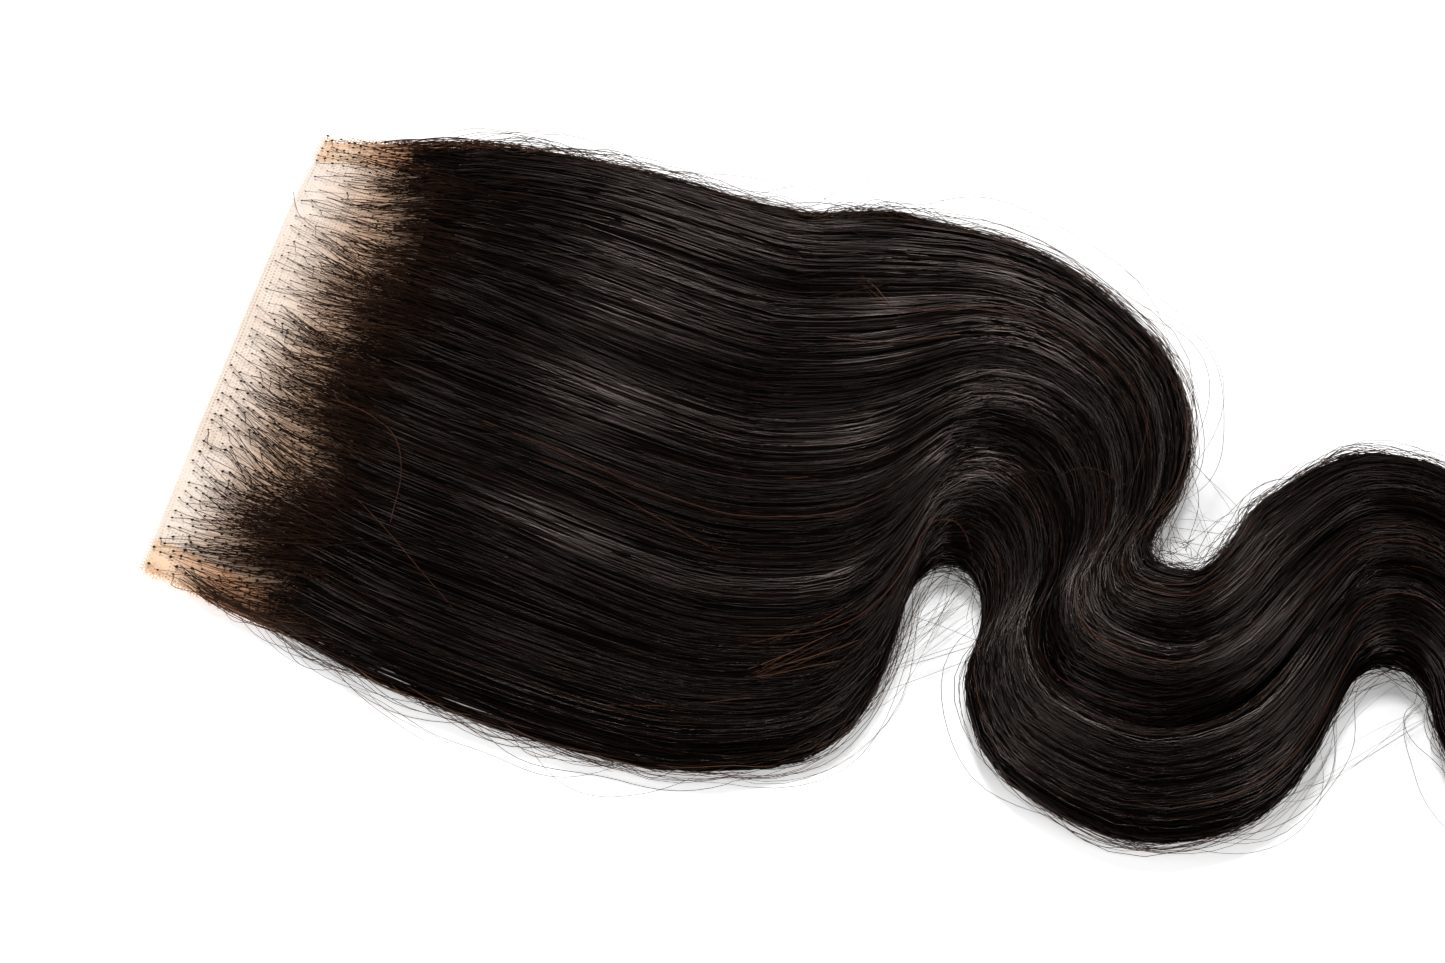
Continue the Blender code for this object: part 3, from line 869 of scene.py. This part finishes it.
def make_under_roots():
    """Short thick strands low on the lace, that close it behind the wavy hairline."""
    rng = np.random.default_rng(63)
    y = rng.uniform(-0.0555, 0.0530, UNDER_ROOTS)
    near = rng.uniform(-0.0555, -0.0490, UNDER_ROOTS)
    y = np.where(np.arange(UNDER_ROOTS) < NEAR_UNDER_ROOTS, near, y)
    x = closed_from(y) - 0.003 + 0.012 * rng.uniform(size=UNDER_ROOTS) ** 0.8
    spread = rng.uniform(-10.0, 10.0, UNDER_ROOTS)
    length = rng.uniform(0.010, 0.022, UNDER_ROOTS)
    lift = rng.uniform(-0.0014, -0.0003, UNDER_ROOTS)
    paths = root_strands(rng, x, y, length, spread, lift, np.zeros(UNDER_ROOTS, bool))
    radius = UNDER_ROOT_RADIUS * rng.uniform(0.7, 1.3, (UNDER_ROOTS, 1))
    radius = radius * blend(0.35, 1.0, smooth(ROOT_RUN / 0.3))
    make_strands("hair_under_roots", "under_roots_look", paths, radius, copper=0.99, gloss=0.06)


# Strands that hang out past the lace beside the hair: side, count, start and end of the stretch where
# they start, their reach along the lace from least to most, and how far out they swing, in metres.
OVERHANGS = (
    (-1.0, 44, 0.006, 0.024, 0.032, 0.060, 0.0030),
    (-1.0, 120, 0.022, 0.075, 0.030, 0.060, 0.0064),
    (1.0, 100, 0.010, 0.060, 0.030, 0.070, 0.0034),
)
OVERHANG_RADIUS = 0.00008


def make_overhangs():
    """Strands from the side bands that swing out over the lace's edge and back into the hair."""
    rng = np.random.default_rng(67)
    run = np.linspace(0.0, 1.0, 13)[None, :]
    a, b, c, d = (1 - run) ** 3, 3 * run * (1 - run) ** 2, 3 * run**2 * (1 - run), run**3
    paths = []
    for side, count, start, end, reach_low, reach_high, swing in OVERHANGS:
        x0 = rng.uniform(start, end, (count, 1))
        inward = rng.uniform(0.0005, 0.5 * BAND_WIDTH, (count, 1))
        y0 = side * (lace_half_width(x0) - inward)
        x3 = x0 + rng.uniform(reach_low, reach_high, (count, 1))
        y3 = side * (lace_half_width(x3) - rng.uniform(-0.0005, 0.006, (count, 1)))
        span = x3 - x0
        out = side * swing * rng.uniform(0.1, 1.0, (count, 1))
        edge = side * lace_half_width(x0 + 0.45 * span)
        x1, x2 = x0 + 0.25 * span, x0 + 0.62 * span
        y1, y2 = blend(y0, edge, 0.7) + out, edge + out
        px = a * x0 + b * x1 + c * x2 + d * x3
        py = a * y0 + b * y1 + c * y2 + d * y3 + waver(rng, count, px, ((35.0, 0.0003), (90.0, 0.00012)))
        low = np.maximum(lace_top(np.clip(px, 0.0, LACE_DEPTH), py), 0.0)
        over = np.maximum(top_of_hair(px, py), low)
        pz = blend(low + 0.0003, over - 0.0005, smooth(run)) + 0.0012 * np.sin(np.pi * run)
        paths.append(np.stack([px, py, pz], -1))
    paths = np.concatenate(paths)
    thick = OVERHANG_RADIUS * rng.uniform(0.7, 1.4, (len(paths), 1))
    make_strands("hair_overhang", "overhang_look", paths, thick, copper=0.9, gloss=0.08, **BROWN)


KNOT_RISE = 0.00020
KNOT_SHAPE = (1.25, 0.95, 0.9)


def make_knots(x, y, size):
    """Small closed beads of hair where it is tied to the net."""
    corner = np.array([(1, 0, 0), (0, 1, 0), (-1, 0, 0), (0, -1, 0), (0, 0, 1), (0, 0, -1)], float)
    sides = np.array([(0, 1, 4), (1, 2, 4), (2, 3, 4), (3, 0, 4), (1, 0, 5), (2, 1, 5), (3, 2, 5), (0, 3, 5)])
    centre = np.stack([x, y, lace_top(x, y) + KNOT_RISE], -1)
    points = centre[:, None] + corner[None] * (size[:, None, None] * KNOT_SHAPE)
    faces = (np.arange(len(x))[:, None, None] * 6 + sides[None]).reshape(-1, 3)
    cell = np.ceil(np.sqrt(len(faces)))
    number = np.arange(len(faces))
    place = np.stack([number % cell, number // cell], -1)[:, None]
    uvs = (place + [(0.1, 0.1), (0.9, 0.1), (0.1, 0.9)]) / cell
    nodes = Nodes("knots")
    tone = nodes.noise(nodes.place(), 400.0, 1.0)
    nodes.set(Base_Color=nodes.ramp(tone, (0.3, HAIR_BLACK), (0.7, HAIR_BROWN)))
    nodes.set(Roughness=0.6, Specular_IOR_Level=0.2)
    make_piece("lace_knots", points.reshape(-1, 3), [faces], uvs, [nodes.material])


# The lace: a see-through sheet, the net of threads on its open strip, and the doubled bands at its sides.

# Shades of the open lace and of the lace on the bands: darker, paler, and a tan painted shade near the hair,
# where the close strands shade the lace.
LACE_SHADES = ((0.765, 0.625, 0.520, 1.0), (0.835, 0.730, 0.650, 1.0), (0.66, 0.44, 0.30, 1.0))
BAND_SHADES = ((0.78, 0.49, 0.31, 1.0), (0.88, 0.67, 0.49, 1.0), (0.62, 0.32, 0.175, 1.0))
# Where the tan painted shade starts behind the cut and where it is full, in metres.
PAINTED_SHADE_FROM = 0.003
PAINTED_SHADE_FULL = 0.019
NET_PITCH = 0.00070
NET_REACH = 0.0310
THREAD_SHARE = 0.62
SHEET_STEPS = 64
SHEET_SHARE = 0.6
SHEET_THICKNESS = 0.00025
BAND_STRIP_THICKNESS = 0.0005


def lace_nodes(name, shades, grain, detail):
    """Lace with an uneven tone, and a tan painted shade that grows behind its front, where the close strands
    shade it.
    """
    low, high, painted_shade = shades
    nodes = Nodes(name)
    place = nodes.place()
    colour = nodes.ramp(nodes.noise(place, grain, detail), (0.3, low), (0.7, high))
    # Painted shade: the lace turns tan behind its front, where the close strands shade it.
    behind = nodes.add("ShaderNodeSeparateXYZ", {0: place}).outputs[0]
    inputs = {"Value": behind, "From Min": FRONT_X + PAINTED_SHADE_FROM, "From Max": FRONT_X + PAINTED_SHADE_FULL}
    share = nodes.add("ShaderNodeMapRange", inputs, interpolation_type="SMOOTHSTEP").outputs["Result"]
    mix = nodes.add("ShaderNodeMix", {"Factor": share, 6: colour, 7: painted_shade}, data_type="RGBA")
    nodes.set(Base_Color=mix.outputs[2])
    return nodes, place


def weave_material(name, shades, cover, cell=0.0007):
    """Fine net seen from afar: small cells, thinner in their middles."""
    nodes, place = lace_nodes(name, shades, 90.0, 3.0)
    inputs = {"Vector": place, "Scale": 1.0 / cell, "Randomness": 0.25}
    cells = nodes.add("ShaderNodeTexVoronoi", inputs, feature="DISTANCE_TO_EDGE")
    thread = nodes.math("LESS_THAN", cells.outputs["Distance"], 0.16)
    nodes.set(Alpha=nodes.math("MULTIPLY_ADD", thread, 1.0 - cover, cover))
    nodes.set(Roughness=0.85, Specular_IOR_Level=0.15)
    return nodes.material


def thread_material(name, shades):
    """Matt thread with a slightly uneven tone."""
    nodes, _ = lace_nodes(name, shades, 160.0, 2.0)
    nodes.set(Roughness=0.7, Specular_IOR_Level=0.2)
    return nodes.material


def quads(grid):
    """The four corners of each cell of a grid, in order round it."""
    return np.stack([grid[:-1, :-1], grid[1:, :-1], grid[1:, 1:], grid[:-1, 1:]], 2)


def closed_sheet(top, thickness):
    """A thin closed sheet from a grid of points on its upper side: points, faces and face UVs."""
    rows, columns = top.shape[:2]
    bottom = top - (0.0, 0.0, thickness)
    upper = np.arange(rows * columns).reshape(rows, columns)
    lower = upper + rows * columns
    u, v = np.meshgrid(np.linspace(0.0, 1.0, rows), np.linspace(0.0, 1.0, columns), indexing="ij")

    def rims(grid):
        return grid[0], grid[-1][::-1], grid[:, -1], grid[::-1, 0]

    # In the UV square the upper side lies left, the lower side right, and the rims in strips over both.
    patches = [
        (upper, pairs(0.01 + 0.46 * u, 0.01 + 0.94 * v), 1),
        (lower, pairs(0.51 + 0.46 * u, 0.01 + 0.94 * v), -1),
    ]
    for index, (high, low) in enumerate(zip(rims(upper), rims(lower))):
        u, v = np.linspace(0.01, 0.97, len(high))[None], 0.96 + 0.01 * index + np.array([[0.0], [0.008]])
        patches.append((np.stack([high, low]), pairs(u, v), -1))
    faces = [quads(grid).reshape(-1, 4)[:, ::turn] for grid, _, turn in patches]
    uvs = [quads(spot).reshape(-1, 4, 2)[:, ::turn].reshape(-1, 2) for _, spot, turn in patches]
    return np.concatenate([top.reshape(-1, 3), bottom.reshape(-1, 3)]), faces, np.concatenate(uvs)


def on_band(points, faces):
    """1 for each face over a side band, 0 for the rest."""
    x, y = np.concatenate([points[block].mean(1) for block in faces])[:, :2].T
    half = lace_half_width(np.clip(x, 0.0, LACE_DEPTH - LACE_CORNER_RADIUS))
    return (np.abs(y) > half - BAND_WIDTH).astype(np.int32)


def make_lace_sheet():
    depth, width = np.linspace(0.0, LACE_DEPTH - 1e-5, SHEET_STEPS), np.linspace(-1.0, 1.0, SHEET_STEPS)
    x, v = np.meshgrid(depth, width, indexing="ij")
    y = v * (np.where(v > 0.0, far_edge(x), lace_half_width(x)) - NET_BORDER)
    x = trimmed(x, y, NET_BORDER)
    top = np.stack([x, y, lace_underside(x, y) + SHEET_SHARE * LACE_THICKNESS], -1)
    points, faces, uvs = closed_sheet(top, SHEET_THICKNESS)
    looks = [weave_material("lace_weave", LACE_SHADES, 0.62)]
    looks.append(weave_material("lace_weave_on_band", BAND_SHADES, 0.65))
    sheet = make_piece("lace_sheet", points, faces, uvs, looks, on_band(points, faces))
    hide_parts("lace_base")
    return sheet


def make_band(name, side, node, seed):
    """A doubled band of lace under one side, with a slightly wavy inner border."""
    rng = np.random.default_rng(seed)
    depth = np.linspace(0.0, LACE_DEPTH - LACE_CORNER_RADIUS, 60)
    x, share = np.meshgrid(depth, np.linspace(0.0, 1.0, 9), indexing="ij")
    wave = 0.00025 * np.sin(x * 420.0 + rng.uniform(0, 6)) + 0.0002 * np.sin(x * 1130.0 + rng.uniform(0, 6))
    outer = far_edge(x) if side > 0 else lace_half_width(x)
    y = side * (outer - BAND_WIDTH - wave + share * (BAND_WIDTH + wave - NET_BORDER))
    if side < 0:
        y = y[:, ::-1]
    x = trimmed(x, y, NET_BORDER)
    z = np.full_like(x, 0.75 * BAND_THICKNESS)
    if side < 0:
        z = z + CORNER_LIFT * (1.0 - smooth(np.hypot(x, y + LACE_FRONT_WIDTH / 2.0) / CORNER_REACH))
    points, faces, uvs = closed_sheet(np.stack([x, y, z], -1), BAND_STRIP_THICKNESS)
    look = weave_material(name + "_weave", BAND_SHADES, 0.93, 0.0005)
    band = make_piece(name, points, faces, uvs, [look])
    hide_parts(node)
    return band


NET_SPAN = 0.114
NET_RAGGED_REACH = 0.009
NET_ABOVE = 0.00012
HOLE_ABOVE = 0.00004


def make_net():
    """Hexagonal threads on the open strip, with a bare ragged border that is roughest at the near corner."""
    rng = np.random.default_rng(71)
    side = NET_PITCH / math.sqrt(3.0)
    rows = int(NET_REACH / (1.5 * side)) + 1
    columns = int(NET_SPAN / NET_PITCH)
    row, column = np.meshgrid(np.arange(rows), np.arange(columns), indexing="ij")
    x = (row * 1.5 * side + 0.0004).ravel()
    y = ((column + 0.5 * (row % 2)) * NET_PITCH - NET_SPAN / 2.0).ravel()
    near_corner = np.hypot(x, y + LACE_FRONT_WIDTH / 2.0)
    past = np.where(near_corner < NET_RAGGED_REACH, rng.uniform(-0.0002, 0.0008, len(x)), 0.0)
    along_side = (y < 0.0) & (near_corner >= NET_RAGGED_REACH)
    past = np.where(along_side, rng.uniform(-0.0003, 0.0004, len(x)), past)
    keep = (y < far_edge(x)) & (y > -lace_half_width(x) - past) & (x < closed_from(y) + 0.003)
    centre = np.stack([x, y], -1)[keep][:, None]
    angle = np.radians(np.arange(0, 360, 60))
    ring = np.stack([np.cos(angle), np.sin(angle)], -1)
    outer = (centre + side * ring[None]).reshape(-1, 2)
    hole_size = side * THREAD_SHARE * rng.uniform(0.88, 1.08, (len(centre), 1, 1))
    inner = (centre + hole_size * ring[None]).reshape(-1, 2)
    key = np.round(outer / (0.05 * side)).astype(np.int64)
    _, first, shared = np.unique(key, axis=0, return_index=True, return_inverse=True)
    flat = np.concatenate([outer[first], inner])
    flat[:, 0] = trimmed(np.maximum(flat[:, 0], 0.0), flat[:, 1])
    surface = lace_underside(flat[:, 0], flat[:, 1]) + SHEET_SHARE * LACE_THICKNESS
    surface = surface + np.where(np.arange(len(flat)) < len(first), NET_ABOVE, HOLE_ABOVE)
    points = np.concatenate([flat, surface[:, None]], 1)
    out = shared.reshape(-1, 6)
    hole = (np.arange(len(inner)) + len(first)).reshape(-1, 6)
    faces = np.stack([out, np.roll(out, -1, 1), np.roll(hole, -1, 1), hole], -1).reshape(-1, 4)
    spot = points[faces.ravel()][:, :2]
    uvs = np.stack([spot[:, 0] / 0.034 * 0.9 + 0.01, (spot[:, 1] + 0.058) / 0.116], -1)
    looks = [thread_material("net_threads", LACE_SHADES), thread_material("net_threads_on_band", BAND_SHADES)]
    return make_piece("lace_net", points, [faces], uvs, looks, on_band(points, [faces]))


# Loose strands beside and over the hair.

LOOSE_END = 0.99


def side_way(along, far):
    """Points on the hair's near foot or far shoulder, and the level direction away from the hair."""
    across = np.where(far, 1.0 - WRAP * 0.2, -WRAP * 0.5)
    return read_chart(CHART, along, across), unit(read_chart(CHART_NORMALS, along, across) * (1.0, 1.0, 0.0))


def make_loose(name, seed, count, steps, reach, out, radius):
    """Strands that leave the hair's sides, run beside it and go back in or end free."""
    rng = np.random.default_rng(seed)
    run = np.linspace(0.0, 1.0, steps)[None, :]
    start = rng.uniform(0.0, 0.93, (count, 1))
    length = rng.uniform(*reach, (count, 1))
    along = np.minimum(start, LOOSE_END - length) + run * length
    far = np.broadcast_to(rng.uniform(size=(count, 1)) < 0.55, along.shape)
    point, way = side_way(along, far)
    size = rng.uniform(0.15, 1.0, (count, 1)) ** 1.6 * (out[1] - out[0]) + out[0]
    free = rng.uniform(size=(count, 1)) < 0.35
    back_in = np.sin(np.pi * run) ** rng.uniform(0.7, 1.3, (count, 1))
    bulge = np.where(free, np.sin(0.5 * np.pi * run) ** 1.2, back_in)
    away = size * bulge + waver(rng, count, along, ((7.0, 0.22), (15.0, 0.09))) * size - 0.0012
    lift = rng.uniform(-0.3, 0.5, (count, 1)) * 0.006 * bulge
    paths = point + way * away[..., None]
    level = np.where(far[:, :1], rng.uniform(0.85, 1.15, (count, 1)), rng.uniform(0.3, 1.25, (count, 1)))
    paths[..., 2] = np.maximum(point[..., 2] * level + lift, OFF_FLOOR)
    thick = radius * rng.uniform(0.8, 1.2, (count, 1)) * blend(0.45, 1.0, np.sin(np.pi * run) ** 0.5)
    make_strands(name, name + "_look", paths, thick, copper=0.9, **BROWN)


# Hollows in the hair's outline: on the far side or not, start and end along the hair, and loose strands.
BAYS = (
    (False, 0.255, 0.490, 26),
    (True, 0.450, 0.665, 18),
    (False, 0.610, 0.800, 22),
    (True, 0.800, 0.960, 10),
)
CHORD_SINK = 0.0015
CHORD_RADIUS = 0.00004


def make_chords():
    """Loose strands that cross the hollows of the outline from one bank to the other."""
    rng = np.random.default_rng(95)
    run = np.linspace(0.0, 1.0, 14)[None, :, None]
    paths = []
    for far, low, high, count in BAYS:
        middle, half = (low + high) / 2.0, (high - low) / 2.0
        first = middle - half * rng.uniform(size=count)
        last = np.maximum(middle + half * rng.uniform(size=count), first + 0.03)
        start, start_way = side_way(first[:, None], far)
        end, end_way = side_way(last[:, None], far)
        start = start - CHORD_SINK * start_way
        end = end - CHORD_SINK * end_way
        way = (start_way + end_way) / 2.0
        span = np.linalg.norm(end - start, axis=-1, keepdims=True)
        bow = span * rng.uniform(-0.22, 0.30, (count, 1, 1)) * np.sin(np.pi * run) * way
        sway = span * rng.uniform(-0.10, 0.10, (count, 1, 1)) * np.sin(2.0 * np.pi * run) * way
        path = blend(start, end, run) + bow + sway
        path[..., 2] = blend(start[..., 2], end[..., 2], run[..., 0]) * rng.uniform(0.2, 1.1, (count, 1))
        paths.append(np.maximum(path, (-1.0, -1.0, OFF_FLOOR)))
    paths = np.concatenate(paths)
    thick = CHORD_RADIUS * rng.uniform(0.7, 1.2, (len(paths), 1))
    make_strands("hair_chords", "chords_look", paths, thick, copper=0.95, dark=HAIR_DARK, brown=ROOT_BROWN)


WANDERERS = 190
TANGLED = 50
WANDERER_RADIUS = 0.00006


def make_wanderers():
    """Single strands that cross over the top of the hair, some of them tangled in the first trough."""
    rng = np.random.default_rng(91)
    each = (WANDERERS, 1)
    run = np.linspace(0.0, 1.0, 26)[None, :]
    start = rng.uniform(0.0, 0.85, each)
    tangled = np.arange(WANDERERS)[:, None] >= WANDERERS - TANGLED
    start = np.where(tangled, rng.uniform(0.33, 0.44, each), start)
    length = rng.uniform(0.08, 0.3, each)
    along = np.minimum(start, LOOSE_END - length) + run * length
    home = rng.uniform(size=each)
    turn = rng.uniform(-0.16, 0.16, each) * np.where(tangled, 4.0, 1.0)
    across = home + turn * (run - 0.5) + waver(rng, WANDERERS, along, ((3.0, 0.02),))
    across = np.clip(across, -0.02, 1.02)
    normal = read_chart(CHART_NORMALS, along, across)
    lift = blend(-0.0003, rng.uniform(0.0005, 0.0016, each), np.sin(np.pi * run) ** 0.6)
    paths = read_chart(CHART, along, across) + normal * lift[..., None]
    thick = WANDERER_RADIUS * rng.uniform(0.8, 1.2, each)
    make_strands("hair_wanderers", "wanderers_look", paths, thick, normal, copper=0.72, dark=HAIR_DARK)


# Two strands that stand out: over the open lace, and over the hair behind it, as x, y in metres.
LACE_STRAY = (
    (-0.0002, 0.0353), (0.0012, 0.0325), (0.0030, 0.0301), (0.0104, 0.0261), (0.0156, 0.0228),
    (0.0218, 0.0174),
)
COPPER_STRAY = ((0.0235, -0.0103), (0.0310, -0.0124), (0.0382, -0.0166), (0.0420, -0.0243), (0.0432, -0.0341))
STRAY_HEIGHT = 0.0006
STRAY_RADIUS = 0.00007


def make_marked_strays():
    paths = []
    for corners in (LACE_STRAY, COPPER_STRAY):
        corners = np.array(corners)
        knots = np.concatenate(([0.0], np.cumsum(np.hypot(*np.diff(corners, axis=0).T))))
        places = np.linspace(0.0, knots[-1], 30)
        x, y = through(knots, corners[:, 0], places), through(knots, corners[:, 1], places)
        hair_top = np.where(x > 0.014, top_of_hair(x, y), 0.0)
        z = np.maximum(lace_top(np.clip(x, 0.0, LACE_DEPTH), y), hair_top) + STRAY_HEIGHT
        paths.append(np.stack([x, y, z], -1))
    paths = np.stack(paths)
    make_strands("hair_strays", "marked_strays_look", paths, STRAY_RADIUS, copper=0.2, dark=ROOT_BROWN)


make_camera()
make_stage()
sheet = make_lace_sheet()
far_band = make_band("lace_band_far", 1.0, "edge_band_far", 31)
near_band = make_band("lace_band_near", -1.0, "edge_band_near", 32)
net = make_net()
make_mass()
make_roots()
make_under_roots()
make_overhangs()
for layer in LAYERS:
    make_body_layer(*layer)
make_loose("hair_edge", 51, 980, 12, (0.03, 0.13), (0.0010, 0.0042), 0.000065)
make_loose("hair_flyaway", 52, 80, 30, (0.06, 0.24), (0.0010, 0.0090), 0.000060)
make_chords()
make_wanderers()
make_marked_strays()
